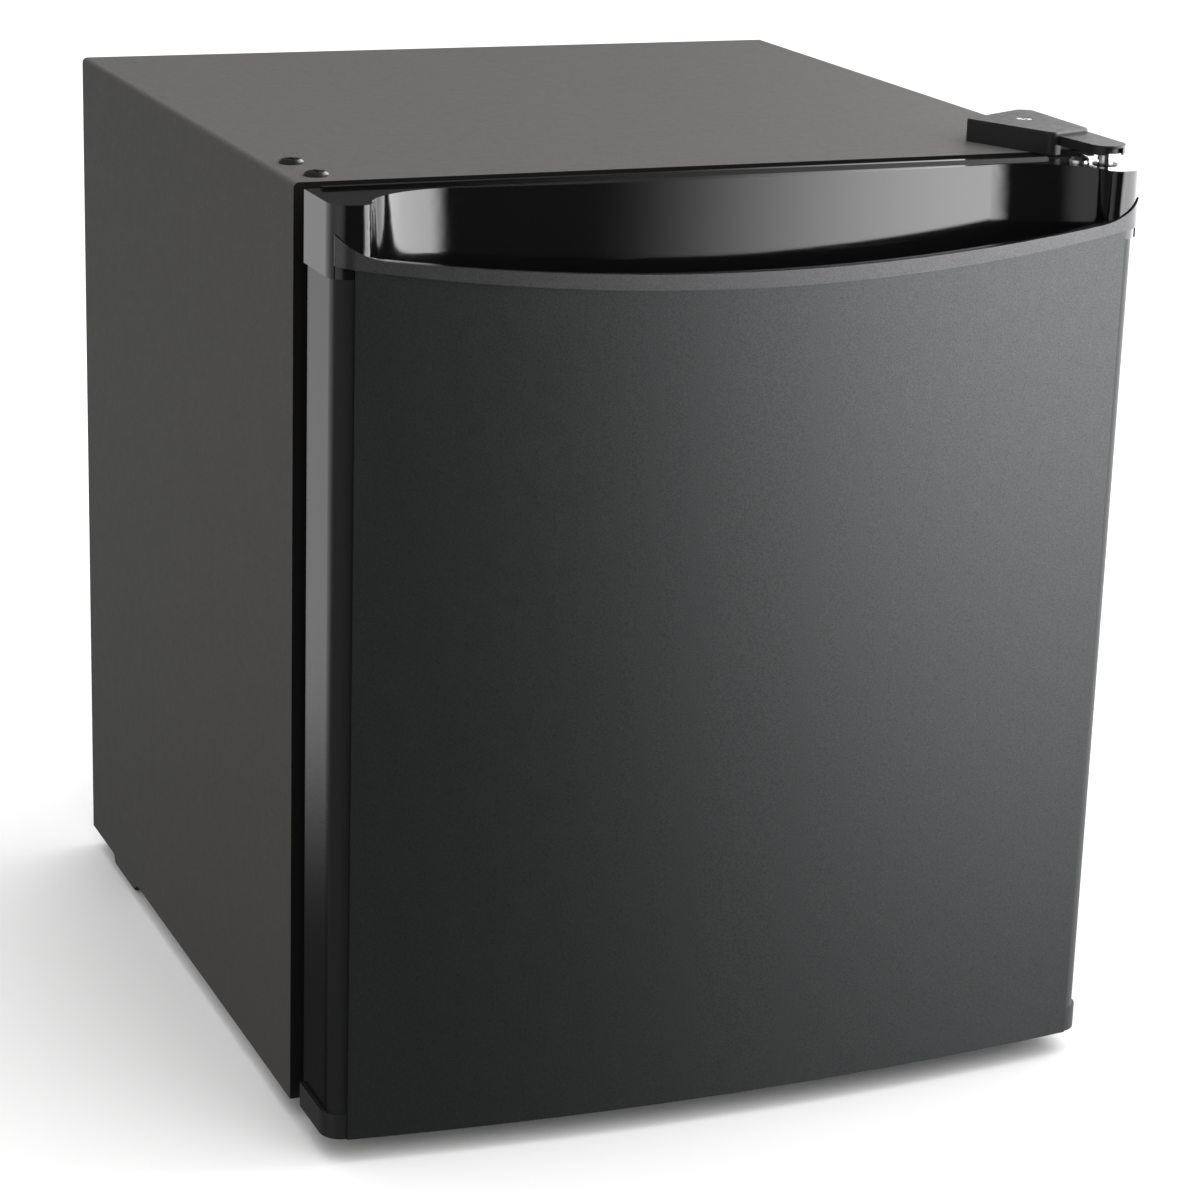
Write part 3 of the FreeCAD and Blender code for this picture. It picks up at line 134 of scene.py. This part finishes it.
def painted(name, colour, rough, metallic=0.35, depth=0.00005, coat=0.15, specular=0.5):
    """Textured paint on sheet steel: orange peel, tiny flake and slightly uneven gloss."""
    surface = Surface(name, rough, metallic=metallic, coat=coat, coat_rough=0.3, specular=specular)
    flake = surface.spread(surface.noise(1500.0, 1.0), 0.0, 1.0, 0.4, 0.6)
    surface.colour(flake, tint(colour, 0.88), tint(colour, 1.12))
    surface.rough(surface.spread(surface.noise(160.0, 4.0), rough * 0.95, rough * 1.05))
    surface.bump(surface.noise(700.0, 2.0), 0.35, depth)
    return surface


def bare_metal(name, colour, rough, grain):
    """Bare metal with a drawn grain along the axis whose scale is smallest."""
    surface = Surface(name, rough, metallic=1.0)
    lines = surface.noise(60.0, 4.0, surface.stretched(grain))
    surface.colour(surface.spread(lines, 0.0, 1.0), tint(colour, 0.85), tint(colour, 1.1))
    surface.rough(surface.spread(surface.noise(25.0, 5.0), rough * 0.8, rough * 1.25))
    surface.bump(lines, 0.4, 0.02 * MM)
    return surface


def spangled(name, colour, rough):
    """Galvanised sheet: crystals a few millimetres across, each a little lighter or glossier."""
    surface = Surface(name, rough, metallic=1.0)
    crystals = surface.node("ShaderNodeTexVoronoi", Vector=surface.place, Scale=140.0)
    random = surface.node("ShaderNodeSeparateColor", Color=crystals.outputs["Color"]).outputs
    surface.colour(random[0], tint(colour, 0.9), tint(colour, 1.07))
    surface.rough(surface.spread(random[1], rough * 0.88, rough * 1.14, 0.0, 1.0))
    surface.bump(surface.noise(350.0, 3.0), 0.3, 0.00003)
    return surface


def shell_paint():
    """The cabinet's paint, with painted shade on the front flange that the door closes against: its front
    face is made very dark for the deep shadow in the gap.
    """
    flange_shade, graphite = (0.009, 0.009, 0.009), (0.105, 0.102, 0.1)
    surface = painted("graphite_paint", graphite, 0.5, metallic=0.0, coat=0.0, specular=0.07)
    base = surface.shader.inputs["Base Color"]
    flaked = base.links[0].from_socket
    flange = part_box("outer_shell")[0].y
    # Painted shade: the mask darkens the flange's front face to stand in for the shadow in the gap between
    # the cabinet and the door.
    apart = surface.node("ShaderNodeSeparateXYZ", Vector=surface.place)
    behind_flange = surface.spread(apart.outputs["Y"], 0.0, 1.0, flange + 0.2 * MM, flange + 0.5 * MM)
    mixed = surface.colours(behind_flange, flange_shade, graphite)
    surface.tree.links.new(flaked, mixed.node.inputs[7])
    surface.tree.links.new(mixed, base)
    return surface


def trim_plastic():
    """The door trims: gloss on the flat side, grained on the strip that turns round to the front."""
    gloss_rough, strip_rough = 0.1, 0.55
    strip_edge, flank_edge = 217.6 * MM, 218.6 * MM
    surface = moulded("trim_black", (0.006, 0.006, 0.0065), gloss_rough, 120.0, 0.00002)
    apart = surface.node("ShaderNodeSeparateXYZ", Vector=surface.place)
    across = surface.node("ShaderNodeMath", Value=apart.outputs["X"])
    across.operation = "ABSOLUTE"
    on_side = surface.spread(across.outputs[0], 0.0, 1.0, strip_edge, flank_edge)
    surface.rough(surface.spread(on_side, strip_rough, gloss_rough, 0.0, 1.0))
    surface.bump(surface.noise(1300.0, 2.0), 0.6, 0.00006)
    return surface


def materials():
    """One material for each kind of surface, by the record's slot name."""
    made = {
        "graphite_paint": shell_paint(),
        "galvanised": spangled("galvanised", (0.55, 0.56, 0.57), 0.4),
        "black_bracket": painted("black_bracket", (0.02, 0.02, 0.02), 0.4),
        "bright_pin": bare_metal("bright_pin", (0.85, 0.85, 0.84), 0.16, (1.0, 1.0, 8.0)),
        "plug_black": painted("plug_black", (0.02, 0.02, 0.02), 0.3),
        "foam": moulded("foam", (0.75, 0.62, 0.36), 0.9, 300.0, 0.0005),
        "white_plastic": moulded("white_plastic", (0.88, 0.885, 0.88), 0.34, 300.0, 0.000006, vary=0.015),
        "white_case": moulded("white_case", (0.84, 0.845, 0.84), 0.38, 900.0, 0.000008, vary=0.015),
        "evaporator_metal": bare_metal("evaporator_metal", (0.78, 0.79, 0.8), 0.42, (2.0, 40.0, 2.0)),
        "copper": bare_metal("copper", (0.62, 0.3, 0.17), 0.35, (4.0, 4.0, 4.0)),
        "shelf_wire": moulded("shelf_wire", (0.75, 0.76, 0.76), 0.25, 400.0, 0.00003, vary=0.03),
        "compressor_black": moulded("compressor_black", (0.012, 0.012, 0.013), 0.22, 200.0, 0.0001, coat=0.6),
        "black_plastic": moulded("black_plastic", (0.013, 0.013, 0.014), 0.42, 1400.0, 0.00006),
        "black_rubber": moulded("black_rubber", (0.02, 0.02, 0.02), 0.62, 700.0, 0.00005),
        "magnet": moulded("magnet", (0.05, 0.045, 0.045), 0.6, 800.0, 0.00005),
        "door_steel": painted("door_steel", (0.066, 0.068, 0.069), 0.3, metallic=0.85, depth=0.00003,
                              coat=0.0),
        "gloss_black": moulded("gloss_black", (0.004, 0.004, 0.0045), 0.09, 120.0, 0.00002, coat=0.5),
        "trim_black": trim_plastic(),
        "lip_grey": painted("lip_grey", (0.1, 0.1, 0.103), 0.34, metallic=0.85, coat=0.0),
        "clear_blue": moulded("clear_blue", (0.72, 0.84, 0.9), 0.12, 90.0, 0.00002, vary=0.03),
    }
    made["clear_blue"].shader.inputs["Transmission Weight"].default_value = 0.75
    return {slot: surface.material for slot, surface in made.items()}


MATERIALS = materials()


def finish_nodes():
    """Give each CAD node its slot's material; the trims and the front rail have a finish of their own."""
    for part in frame["record"]["subparts"]:
        cad = NODES[part["node"]]
        cad.data.materials.clear()
        cad.data.materials.append(MATERIALS[part["material_slot"]])
    for side in ("left", "right"):
        NODES["side_trim_" + side].data.materials[0] = MATERIALS["trim_black"]
    NODES["front_rail"].data.materials[0] = MATERIALS["black_bracket"]


def round_edges(piece, width, angle):
    """Round a piece's edges that are sharper than an angle in degrees, so that they catch the light."""
    bevel = piece.modifiers.new("edges", "BEVEL")
    bevel.width = width
    bevel.segments = 3
    bevel.limit_method = "ANGLE"
    bevel.angle_limit = math.radians(angle)
    bevel.harden_normals = True


EDGE_WIDTHS = {
    0.3 * MM: ("side_trim_left", "side_trim_right", "upper_hinge_bracket"),
    0.4 * MM: ("door_top_cap", "drip_tray", "chiller_flap"),
    0.5 * MM: ("handle_lip",),
    0.6 * MM: ("hinge_cover", "door_bottom_cap", "upper_rack", "lower_rack", "compressor_terminal_cover",
               "rear_feet"),
    0.8 * MM: ("thermostat_housing",),
}

finish_nodes()
for width, names in EDGE_WIDTHS.items():
    for name in names:
        round_edges(NODES[name], width, 35)


# ---------------------------------------------------------------- detail pieces

def put(name, mesh, body, slot, smooth=True):
    """Show a mesh as a piece that rides on a body and has the finish of a slot."""
    if smooth:
        mesh.shade_smooth()
    mesh.materials.append(MATERIALS[slot])
    piece = bpy.data.objects.new(name, mesh)
    bpy.context.scene.collection.objects.link(piece)
    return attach(piece, body)


def solid(name, vertices, faces):
    """A mesh whose faces all look outwards."""
    mesh = bpy.data.meshes.new(name)
    mesh.from_pydata(vertices, [], faces)
    shape = bmesh.new()
    shape.from_mesh(mesh)
    bmesh.ops.recalc_face_normals(shape, faces=shape.faces)
    shape.to_mesh(mesh)
    shape.free()
    return mesh


def tube(name, points, radius, body, slot):
    """A round tube along a list of points."""
    curve = bpy.data.curves.new(name, "CURVE")
    curve.dimensions = "3D"
    curve.bevel_depth = radius
    curve.bevel_resolution = 3
    curve.use_fill_caps = True
    spline = curve.splines.new("POLY")
    spline.points.add(len(points) - 1)
    for point, place in zip(spline.points, points):
        point.co = (*place, 1)
    holder = bpy.data.objects.new(name, curve)
    mesh = bpy.data.meshes.new_from_object(holder)
    bpy.data.objects.remove(holder)
    mesh.materials.clear()
    return put(name, mesh, body, slot)


def gasket():
    """The door seal: a flange against the door's liner, a folded bellows and the magnet's rounded pocket."""
    low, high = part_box("door_gasket")
    band, depth = 14 * MM, high.y - low.y
    # Each point is how far in from the seal's outer edge, and how far from the door, as parts of the section.
    half = [(0.12, 0.0), (0.12, 0.12), (0.33, 0.2), (0.17, 0.33), (0.35, 0.46), (0.2, 0.57), (0.04, 0.65),
            (0.01, 0.78), (0.03, 0.93), (0.1, 1.0)]
    section = half + [(1 - across, along) for across, along in reversed(half)]
    vertices, faces = [], []
    for sign_x, sign_z in ((1, 1), (-1, 1), (-1, -1), (1, -1)):
        corner_x = high.x if sign_x > 0 else low.x
        corner_z = high.z if sign_z > 0 else low.z
        vertices += [
            (corner_x - sign_x * across * band, low.y + along * depth, corner_z - sign_z * across * band)
            for across, along in section
        ]
    count = len(section)
    for corner in range(4):
        start, next_start = corner * count, (corner + 1) % 4 * count
        for i in range(count):
            j = (i + 1) % count
            faces.append((start + i, start + j, next_start + j, next_start + i))
    piece = put("door_seal", solid("door_seal", vertices, faces), "door", "black_rubber", smooth=False)
    round_edges(piece, 0.4 * MM, 25)
    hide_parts("door_gasket")


def evaporator_channels():
    """The inflated channel of the evaporator's folded sheet, winding over its floor, right side and roof."""
    low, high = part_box("evaporator_plate")
    inset, spacing, radius = 0.75 * MM, 20 * MM, 2.1 * MM
    straight_steps, turn_steps = 6, 12
    width, height = high.x - low.x, high.z - low.z
    near, far = low.y + 24 * MM, high.y - 20 * MM
    turn = spacing / 2

    def folded(along, y):
        """A place on the unrolled sheet, put where the folded sheet has it."""
        if along < width:
            return low.x + along, y, low.z + inset
        if along < width + height:
            return high.x - inset, y, low.z + along - width
        return high.x - (along - width - height), y, high.z - inset

    points = []
    runs = int((2 * width + height - spacing) // spacing)
    for run in range(runs):
        along = spacing * (run + 0.75)
        ends = (near + turn, far - turn) if run % 2 == 0 else (far - turn, near + turn)
        points += [folded(along, ends[0] + (ends[1] - ends[0]) * part / straight_steps)
                   for part in range(straight_steps + 1)]
        if run < runs - 1:
            sign = 1 if run % 2 == 0 else -1
            points += [folded(along + turn * (1 - math.cos(math.pi * part / turn_steps)),
                              ends[1] + sign * turn * math.sin(math.pi * part / turn_steps))
                       for part in range(1, turn_steps)]
    tube("evaporator_channels", points, radius, "cabinet", "evaporator_metal")


def numbers(name, words, centre, radius, size, rise):
    """Raised numbers in a ring round a centre, standing on a face that looks to the front."""
    joined = bmesh.new()
    for place, word in enumerate(words):
        text = bpy.data.curves.new(name, "FONT")
        text.body = word
        text.size = size
        text.extrude = rise
        text.align_x = "CENTER"
        text.align_y = "CENTER"
        holder = bpy.data.objects.new(name, text)
        mesh = bpy.data.meshes.new_from_object(holder)
        bpy.data.objects.remove(holder)
        angle = math.radians(360 * (place + 0.5) / len(words))
        mesh.transform(Matrix.Translation(centre) @ Matrix.Rotation(angle, 4, "Y")
                       @ Matrix.Translation((0, 0, radius)) @ Matrix.Rotation(math.radians(90), 4, "X"))
        joined.from_mesh(mesh)
        bpy.data.meshes.remove(mesh)
    made = bpy.data.meshes.new(name)
    joined.to_mesh(made)
    joined.free()
    return made


def dial_marks():
    """Numbers round the dial's face and a pointer above it on the housing."""
    low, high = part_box("thermostat_dial")
    case_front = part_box("thermostat_housing")[0].y
    grip_rise, ink, ring, size = 5 * MM, 0.12 * MM, 12.2 * MM, 5.2 * MM
    middle_x, middle_z = (low.x + high.x) / 2, (low.z + high.z) / 2
    face = (middle_x, low.y + grip_rise, middle_z)
    put("dial_numbers", numbers("dial_numbers", "01234567", face, ring, size, ink), "thermostat_dial",
        "black_plastic", smooth=False)
    tip, top, half = high.z + 0.8 * MM, high.z + 3.6 * MM, 1.7 * MM
    outline = [(middle_x, tip), (middle_x + half, top), (middle_x - half, top)]
    vertices = [(x, case_front + y, z) for y in (-ink, ink) for x, z in outline]
    faces = [(0, 1, 2), (5, 4, 3), (0, 3, 4, 1), (1, 4, 5, 2), (2, 5, 3, 0)]
    put("dial_pointer", solid("dial_pointer", vertices, faces), "cabinet", "black_plastic", smooth=False)


gasket()
evaporator_channels()
dial_marks()


# ---------------------------------------------------------------- stage: floor, lights and camera

def floor():
    """A pale floor that runs up into a wall; it takes shadows but throws no light back on the object."""
    mesh = bpy.data.meshes.new("floor")
    size, wall_start, radius, height, steps = 9.0, 5.0, 1.5, 5.0, 12
    profile = [(-size, 0.0)]
    for step in range(steps + 1):
        angle = math.radians(90 * step / steps)
        profile.append((wall_start + radius * math.sin(angle), radius * (1 - math.cos(angle))))
    profile.append((wall_start + radius, height))
    vertices = [(x, y, z) for y, z in profile for x in (-size, size)]
    faces = [(2 * i, 2 * i + 1, 2 * i + 3, 2 * i + 2) for i in range(len(profile) - 1)]
    mesh.from_pydata(vertices, [], faces)
    mesh.shade_smooth()
    stage = bpy.data.objects.new("floor", mesh)
    bpy.context.scene.collection.objects.link(stage)
    surface = Surface("floor", 0.7, specular=0.1)
    surface.colour(surface.spread(surface.noise(2.0), 0.0, 1.0), (0.85, 0.85, 0.85), (0.87, 0.87, 0.87))
    mesh.materials.append(surface.material)
    stage.visible_glossy = False
    stage.visible_diffuse = False


def aim(thing, place, target):
    thing.location = place
    thing.rotation_euler = (Vector(target) - Vector(place)).to_track_quat("-Z", "Y").to_euler()


def area_light(name, place, target, size, power, colour=(1, 1, 1)):
    """A square lamp that lights surfaces but isn't seen in their gloss."""
    data = bpy.data.lights.new(name, "AREA")
    data.shape = "RECTANGLE"
    data.size = size
    data.size_y = size
    data.energy = power
    data.color = colour
    light = bpy.data.objects.new(name, data)
    bpy.context.scene.collection.objects.link(light)
    light.visible_glossy = False
    light.visible_camera = False
    aim(light, place, target)


class Sky:
    """The studio round the object, as strengths by direction."""

    def __init__(self):
        world = bpy.data.worlds.new("studio")
        bpy.context.scene.world = world
        world.use_nodes = True
        world.cycles.sampling_method = "NONE"
        self.tree = world.node_tree
        self.direction = self.tree.nodes.new("ShaderNodeTexCoord").outputs["Generated"]

    def link(self, value, socket):
        if isinstance(value, bpy.types.NodeSocket):
            self.tree.links.new(value, socket)
        else:
            socket.default_value = value

    def maths(self, operation, *values):
        made = self.tree.nodes.new("ShaderNodeMath")
        made.operation = operation
        for value, socket in zip(values, made.inputs):
            self.link(value, socket)
        return made.outputs[0]

    def times(self, *values):
        return functools.reduce(lambda product, value: self.maths("MULTIPLY", product, value), values)

    def plus(self, *values):
        return functools.reduce(lambda total, value: self.maths("ADD", total, value), values)

    def ramp(self, value, start, end, low, high):
        made = self.tree.nodes.new("ShaderNodeMapRange")
        made.interpolation_type = "SMOOTHSTEP"
        for number, name in ((value, "Value"), (start, "From Min"), (end, "From Max"), (low, "To Min"),
                             (high, "To Max")):
            self.link(number, made.inputs[name])
        return made.outputs["Result"]

    def softbox(self, azimuth, elevation, inner, outer, strength):
        """A round glow about a direction: full inside the inner angle and gone outside the outer one.

        Azimuth 0 is straight in front of the door and 90 is the object's right.
        """
        a, e = math.radians(azimuth), math.radians(elevation)
        centre = (math.sin(a) * math.cos(e), -math.cos(a) * math.cos(e), math.sin(e))
        dot = self.tree.nodes.new("ShaderNodeVectorMath")
        dot.operation = "DOT_PRODUCT"
        self.tree.links.new(self.direction, dot.inputs[0])
        dot.inputs[1].default_value = centre
        edge, core = math.cos(math.radians(outer)), math.cos(math.radians(inner))
        return self.ramp(dot.outputs["Value"], edge, core, 0.0, strength)

    def finish(self, mirrored, diffuse, seen):
        """Use one strength for reflections, one for diffuse light and one for what is seen directly."""
        path = self.tree.nodes.new("ShaderNodeLightPath")
        rays = (("Glossy", mirrored), ("Diffuse", diffuse), ("Transmission", diffuse), ("Camera", seen))
        mix = self.plus(*(self.times(strength, path.outputs["Is %s Ray" % name]) for name, strength in rays))
        background = self.tree.nodes["Background"]
        background.inputs["Color"].default_value = (1, 1, 1, 1)
        self.link(mix, background.inputs["Strength"])


def lights():
    """Three softboxes that only gloss shows, and an overhead glow and two lamps that light the rest."""
    sky = Sky()
    split = sky.tree.nodes.new("ShaderNodeSeparateXYZ")
    sky.tree.links.new(sky.direction, split.inputs[0])
    across, height = split.outputs["X"], split.outputs["Z"]

    right_foot = sky.ramp(height, -0.42, -0.09, 0.02, 1.0)
    right = sky.times(sky.softbox(88, -8, 48, 71, 6.2), right_foot)
    left_foot = sky.ramp(height, -0.385, -0.31, 0.02, 1.0)
    left_top = sky.ramp(height, -0.08, 0.1, 1.0, 0.12)
    left = sky.times(sky.softbox(-150, 5, 20, 60, 0.75), left_foot, left_top)
    front = sky.softbox(-72, 4, 12, 44, 0.6)
    room = 0.03
    mirrored = sky.plus(right, left, front, room)

    dim_left = sky.ramp(across, -1.0, 0.4, 0.3, 1.25)
    overhead = sky.maths("MAXIMUM", sky.times(height, 2.1, dim_left), 0.05)
    diffuse = sky.plus(overhead, sky.softbox(10, 12, 15, 55, 1.1))
    sky.finish(mirrored, diffuse, 1.0)

    middle, left_side = (0, 0, 0.25), (-0.22, -0.1, 0.28)
    area_light("key", (2.4, -0.4, 2.6), middle, 1.4, 28)
    area_light("left_fill", (-1.1, -0.75, 0.42), left_side, 0.4, 1.7, colour=(1.0, 0.95, 0.92))
    bpy.context.scene.view_settings.view_transform = "Standard"


def camera():
    """The camera at the photograph's angle: azimuth, elevation and roll in degrees."""
    place = (-0.710, -1.736, 0.797)
    azimuth, elevation, roll = (math.radians(angle) for angle in (-22.76, 17.21, 1.83))
    back = Vector((math.sin(azimuth) * math.cos(elevation), -math.cos(azimuth) * math.cos(elevation),
                   math.sin(elevation)))
    right = Vector((0, 0, 1)).cross(back).normalized()
    up = back.cross(right)
    turned_right = math.cos(roll) * right + math.sin(roll) * up
    turned_up = math.cos(roll) * up - math.sin(roll) * right
    data = bpy.data.cameras.new("camera")
    data.sensor_width = 36.0
    data.lens = 101.85
    eye = bpy.data.objects.new("camera", data)
    bpy.context.scene.collection.objects.link(eye)
    axes = Matrix((turned_right, turned_up, back)).transposed().to_4x4()
    eye.matrix_world = Matrix.Translation(place) @ axes
    bpy.context.scene.camera = eye


floor()
lights()
camera()
